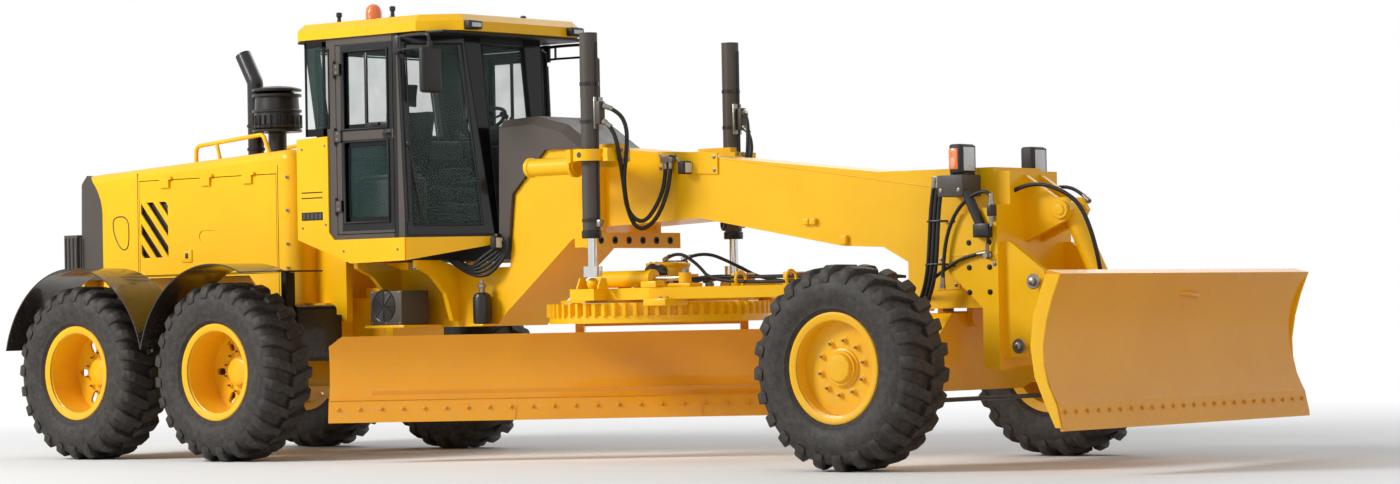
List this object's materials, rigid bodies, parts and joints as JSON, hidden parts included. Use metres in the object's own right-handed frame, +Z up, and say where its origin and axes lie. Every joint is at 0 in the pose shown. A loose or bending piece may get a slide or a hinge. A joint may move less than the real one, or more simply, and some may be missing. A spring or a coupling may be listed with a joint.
{
  "type": "motor grader",
  "caption": "Articulated motor grader with tandem rear wheels, cab, toothed circle and moldboard under an arched frame, leaning front wheels and a front dozer blade.",
  "frame": {"origin": "middle of the bounding box on the ground", "axes": "+X is the way the machine drives, +Y is the operator's left, +Z is up"},
  "size_m": [10.07, 2.8808, 3.3498],
  "materials": {
    "yellow_paint": "gloss",
    "grey_paint": "satin",
    "black_paint": "satin",
    "fender_paint": "gloss",
    "rim_paint": "gloss",
    "tyre_rubber": "matte",
    "glass": "clear",
    "plastic": "matte",
    "chrome": "polished",
    "steel": "worn",
    "iron": "cast"
  },
  "bodies": {
    "rear": {"rear_frame": "yellow_paint", "engine": "iron", "rear_axle_and_tandems": "yellow_paint", "hood": "yellow_paint", "tail_cap": "grey_paint", "fenders": "fender_paint", "tanks": "black_paint", "exhaust_and_intake": "black_paint"},
    "front": {"front_frame": "yellow_paint", "lift_saddle": "yellow_paint", "cab_frame": "grey_paint", "cab_glass": "glass", "cab_roof": "yellow_paint", "cab_skirt": "yellow_paint", "operator_station": "plastic", "cowl": "grey_paint", "mirrors": "plastic", "lamps": "plastic", "front_axle": "yellow_paint"},
    "hood_door_right": {"hood_door_right": "yellow_paint"},
    "cab_door_right": {"cab_door_right": "grey_paint", "door_glass_right": "glass"},
    "lean_right": {"lean_bracket_right": "yellow_paint"},
    "steer_right": {"knuckle_right": "iron"},
    "lift_yoke_right": {"lift_yoke_right": "yellow_paint"},
    "lift_barrel_right": {"lift_barrel_right": "grey_paint"},
    "lift_rod_right": {"lift_rod_right": "chrome"},
    "hood_door_left": {"hood_door_left": "yellow_paint"},
    "cab_door_left": {"cab_door_left": "grey_paint", "door_glass_left": "glass"},
    "lean_left": {"lean_bracket_left": "yellow_paint"},
    "steer_left": {"knuckle_left": "iron"},
    "lift_yoke_left": {"lift_yoke_left": "yellow_paint"},
    "lift_barrel_left": {"lift_barrel_left": "grey_paint"},
    "lift_rod_left": {"lift_rod_left": "chrome"},
    "lean_bar": {"lean_bar": "yellow_paint"},
    "tie_rod_ball": {"tie_rod_ball": "iron"},
    "tie_rod": {"tie_rod": "black_paint"},
    "drawbar_ball": {"drawbar_ball": "iron"},
    "drawbar": {"drawbar": "yellow_paint"},
    "circle": {"circle": "yellow_paint"},
    "blade_cradle": {"blade_cradle": "yellow_paint"},
    "moldboard": {"moldboard": "yellow_paint"},
    "dozer_link_lower": {"dozer_link_lower": "yellow_paint"},
    "dozer_link_upper": {"dozer_link_upper": "yellow_paint"},
    "dozer_blade": {"dozer_blade": "yellow_paint"},
    "dozer_barrel": {"dozer_barrel": "yellow_paint"},
    "dozer_rod": {"dozer_rod": "chrome"},
    "wheel_rear_right_back": {"rim_rear_right_back": "rim_paint", "tyre_rear_right_back": "tyre_rubber"},
    "wheel_rear_right_front": {"rim_rear_right_front": "rim_paint", "tyre_rear_right_front": "tyre_rubber"},
    "wheel_rear_left_back": {"rim_rear_left_back": "rim_paint", "tyre_rear_left_back": "tyre_rubber"},
    "wheel_rear_left_front": {"rim_rear_left_front": "rim_paint", "tyre_rear_left_front": "tyre_rubber"},
    "wheel_front_right": {"rim_front_right": "rim_paint", "tyre_front_right": "tyre_rubber"},
    "wheel_front_left": {"rim_front_left": "rim_paint", "tyre_front_left": "tyre_rubber"}
  },
  "joints": [
    {"name": "articulation", "type": "hinge", "parent": "rear", "child": "front", "pos_m": [-2.065, 0, 1.02], "axis": [0, 0, 1], "range_deg": [-25, 25]},
    {"name": "spin_rear_right_back", "type": "hinge", "parent": "rear", "child": "wheel_rear_right_back", "pos_m": [-4.005, -1.2, 0.655], "axis": [0, 1, 0], "continuous": true},
    {"name": "spin_rear_right_front", "type": "hinge", "parent": "rear", "child": "wheel_rear_right_front", "pos_m": [-2.465, -1.2, 0.655], "axis": [0, 1, 0], "continuous": true},
    {"name": "spin_rear_left_back", "type": "hinge", "parent": "rear", "child": "wheel_rear_left_back", "pos_m": [-4.005, 1.2, 0.655], "axis": [0, 1, 0], "continuous": true},
    {"name": "spin_rear_left_front", "type": "hinge", "parent": "rear", "child": "wheel_rear_left_front", "pos_m": [-2.465, 1.2, 0.655], "axis": [0, 1, 0], "continuous": true},
    {"name": "hood_door_right_hinge", "type": "hinge", "parent": "rear", "child": "hood_door_right", "pos_m": [-3.395, -0.593, 2.136], "axis": [-1, 0, 0], "range_deg": [0, 70]},
    {"name": "cab_door_right_hinge", "type": "hinge", "parent": "front", "child": "cab_door_right", "pos_m": [-1.765, -0.814, 2.35], "axis": [0, 0, -1], "range_deg": [0, 80]},
    {"name": "wheel_lean_right", "type": "hinge", "parent": "front", "child": "lean_right", "pos_m": [3.245, -0.8, 0.57], "axis": [1, 0, 0], "range_deg": [-18, 18]},
    {"name": "steer_right_kingpin", "type": "hinge", "parent": "lean_right", "child": "steer_right", "pos_m": [3.245, -0.97, 0.655], "axis": [0, 0, 1], "range_deg": [-45, 45]},
    {"name": "spin_front_right", "type": "hinge", "parent": "steer_right", "child": "wheel_front_right", "pos_m": [3.245, -1.2, 0.655], "axis": [0, 1, 0], "continuous": true},
    {"name": "hood_door_left_hinge", "type": "hinge", "parent": "rear", "child": "hood_door_left", "pos_m": [-3.395, 0.593, 2.136], "axis": [1, 0, 0], "range_deg": [0, 70]},
    {"name": "cab_door_left_hinge", "type": "hinge", "parent": "front", "child": "cab_door_left", "pos_m": [-1.765, 0.814, 2.35], "axis": [0, 0, 1], "range_deg": [0, 80]},
    {"name": "wheel_lean_left", "type": "hinge", "parent": "front", "child": "lean_left", "pos_m": [3.245, 0.8, 0.57], "axis": [1, 0, 0], "range_deg": [-18, 18]},
    {"name": "steer_left_kingpin", "type": "hinge", "parent": "lean_left", "child": "steer_left", "pos_m": [3.245, 0.97, 0.655], "axis": [0, 0, 1], "range_deg": [-45, 45]},
    {"name": "spin_front_left", "type": "hinge", "parent": "steer_left", "child": "wheel_front_left", "pos_m": [3.245, 1.2, 0.655], "axis": [0, 1, 0], "continuous": true},
    {"name": "lean_bar_pin", "type": "hinge", "parent": "lean_right", "child": "lean_bar", "pos_m": [3.245, -0.8, 0.86], "axis": [1, 0, 0], "range_deg": [-18, 18]},
    {"name": "tie_rod_ball_turn", "type": "hinge", "parent": "steer_right", "child": "tie_rod_ball", "pos_m": [3.505, -0.97, 0.43], "axis": [0, 0, 1], "range_deg": [-45, 45]},
    {"name": "tie_rod_tilt", "type": "hinge", "parent": "tie_rod_ball", "child": "tie_rod", "pos_m": [3.505, -0.97, 0.43], "axis": [1, 0, 0], "range_deg": [-15, 15]},
    {"name": "drawbar_swing", "type": "hinge", "parent": "front", "child": "drawbar_ball", "pos_m": [2.885, 0, 1.05], "axis": [0, 0, 1], "range_deg": [-12, 12]},
    {"name": "drawbar_lift", "type": "hinge", "parent": "drawbar_ball", "child": "drawbar", "pos_m": [2.885, 0, 1.05], "axis": [0, 1, 0], "range_deg": [-21, 4.5]},
    {"name": "circle_turn", "type": "hinge", "parent": "drawbar", "child": "circle", "pos_m": [0.645, 0, 1.05], "axis": [0, 0, 1], "range_deg": [-165, 100]},
    {"name": "blade_tip", "type": "hinge", "parent": "circle", "child": "blade_cradle", "pos_m": [0.38069, 0.3264, 0.405], "axis": [0.7771, 0.6293, 0], "range_deg": [-5, 35]},
    {"name": "blade_shift", "type": "slide", "parent": "blade_cradle", "child": "moldboard", "axis": [0.7771, 0.6293, 0], "range_m": [-0.2, 1]},
    {"name": "lift_yoke_right_swing", "type": "hinge", "parent": "front", "child": "lift_yoke_right", "pos_m": [0.695, -0.77, 2.12], "axis": [1, 0, 0], "range_deg": [-28, 28]},
    {"name": "lift_barrel_right_tilt", "type": "hinge", "parent": "lift_yoke_right", "child": "lift_barrel_right", "pos_m": [0.695, -0.77, 2.12], "axis": [0, 1, 0], "range_deg": [-10.5, 10.5]},
    {"name": "lift_rod_right_slide", "type": "slide", "parent": "lift_barrel_right", "child": "lift_rod_right", "axis": [0, 0, -1], "range_m": [-0.172, 0.8]},
    {"name": "lift_yoke_left_swing", "type": "hinge", "parent": "front", "child": "lift_yoke_left", "pos_m": [0.695, 0.77, 2.12], "axis": [1, 0, 0], "range_deg": [-28, 28]},
    {"name": "lift_barrel_left_tilt", "type": "hinge", "parent": "lift_yoke_left", "child": "lift_barrel_left", "pos_m": [0.695, 0.77, 2.12], "axis": [0, 1, 0], "range_deg": [-10.5, 10.5]},
    {"name": "lift_rod_left_slide", "type": "slide", "parent": "lift_barrel_left", "child": "lift_rod_left", "axis": [0, 0, -1], "range_m": [-0.172, 0.8]},
    {"name": "dozer_lift", "type": "hinge", "parent": "front", "child": "dozer_link_lower", "pos_m": [4.005, 0, 0.77], "axis": [0, -1, 0], "range_deg": [-41, 20]},
    {"name": "dozer_blade_level", "type": "hinge", "parent": "dozer_link_lower", "child": "dozer_blade", "pos_m": [4.625, 0, 0.62], "axis": [0, -1, 0], "range_deg": [-20, 41]},
    {"name": "dozer_link_upper_turn", "type": "hinge", "parent": "front", "child": "dozer_link_upper", "pos_m": [4.125, 0, 1.18], "axis": [0, -1, 0], "range_deg": [-41, 20]},
    {"name": "dozer_barrel_turn", "type": "hinge", "parent": "front", "child": "dozer_barrel", "pos_m": [4.135, 0, 1.64], "axis": [0, -1, 0], "range_deg": [-18.5, 9]},
    {"name": "dozer_rod_slide", "type": "slide", "parent": "dozer_barrel", "child": "dozer_rod", "axis": [0.4472, 0, -0.8944], "range_m": [-0.155, 0.31]}
  ],
  "couplings": [
    {"joint": "wheel_lean_left", "follows": "wheel_lean_right", "ratio": 1},
    {"joint": "steer_left_kingpin", "follows": "steer_right_kingpin", "ratio": 1},
    {"joint": "lean_bar_pin", "follows": "wheel_lean_right", "ratio": -1},
    {"joint": "tie_rod_ball_turn", "follows": "steer_right_kingpin", "ratio": -1},
    {"joint": "tie_rod_tilt", "follows": "wheel_lean_right", "ratio": -0.826},
    {"joint": "lift_yoke_right_swing", "follows": "drawbar_swing", "ratio": -2.3},
    {"joint": "lift_yoke_left_swing", "follows": "drawbar_swing", "ratio": -2.3},
    {"joint": "lift_barrel_right_tilt", "follows": "drawbar_swing", "ratio": -0.85},
    {"joint": "lift_barrel_left_tilt", "follows": "drawbar_swing", "ratio": 0.85},
    {"joint": "lift_rod_right_slide", "follows": "drawbar_lift", "m_per_rad": -2.18},
    {"joint": "lift_rod_left_slide", "follows": "drawbar_lift", "m_per_rad": -2.18},
    {"joint": "dozer_blade_level", "follows": "dozer_lift", "ratio": -1},
    {"joint": "dozer_link_upper_turn", "follows": "dozer_lift", "ratio": 1},
    {"joint": "dozer_barrel_turn", "follows": "dozer_lift", "ratio": 0.445},
    {"joint": "dozer_rod_slide", "follows": "dozer_lift", "m_per_rad": -0.43}
  ]
}
